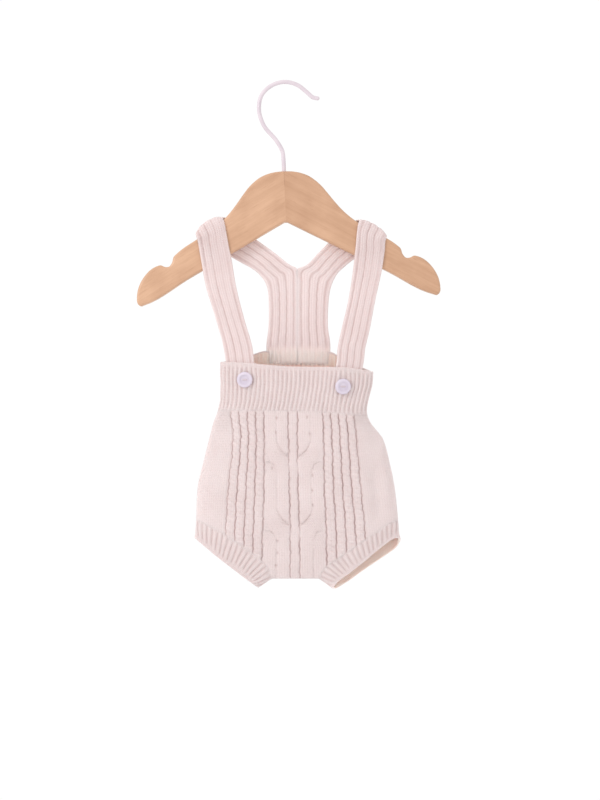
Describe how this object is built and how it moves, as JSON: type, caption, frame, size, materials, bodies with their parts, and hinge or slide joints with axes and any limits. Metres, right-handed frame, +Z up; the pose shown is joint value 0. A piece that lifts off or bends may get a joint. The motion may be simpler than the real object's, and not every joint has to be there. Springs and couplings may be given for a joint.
{
  "type": "knitted baby suspender shorts on a wooden hanger",
  "caption": "Cream knitted baby shorts with cabled front, ribbed waistband, leg cuffs and crossed-back suspenders, hung on a small wooden hanger by its wire hook.",
  "frame": {"origin": "underside of the crown of the hook, where it rests on the peg or rail that holds it", "axes": "+X to the right seen from the front, +Y to the back, +Z up; the front faces -Y"},
  "size_m": [0.301, 0.0379, 0.5058],
  "materials": {
    "knit": "soft matt cotton knit, pale pink cream",
    "rib_knit": "soft matt ribbed cotton knit, pale pink cream",
    "button": "pearly pale lilac",
    "wood": "clear satin lacquer on light wood",
    "hook_wire": "gloss white coating"
  },
  "bodies": {
    "root": {"front_panel": "knit", "back_panel": "knit", "front_waistband": "rib_knit", "back_waistband": "rib_knit", "left_leg_cuff": "rib_knit", "right_leg_cuff": "rib_knit", "left_strap": "rib_knit", "right_strap": "rib_knit", "left_button": "button", "right_button": "button", "wooden_hanger": "wood", "hanger_hook": "hook_wire"}
  },
  "joints": []
}
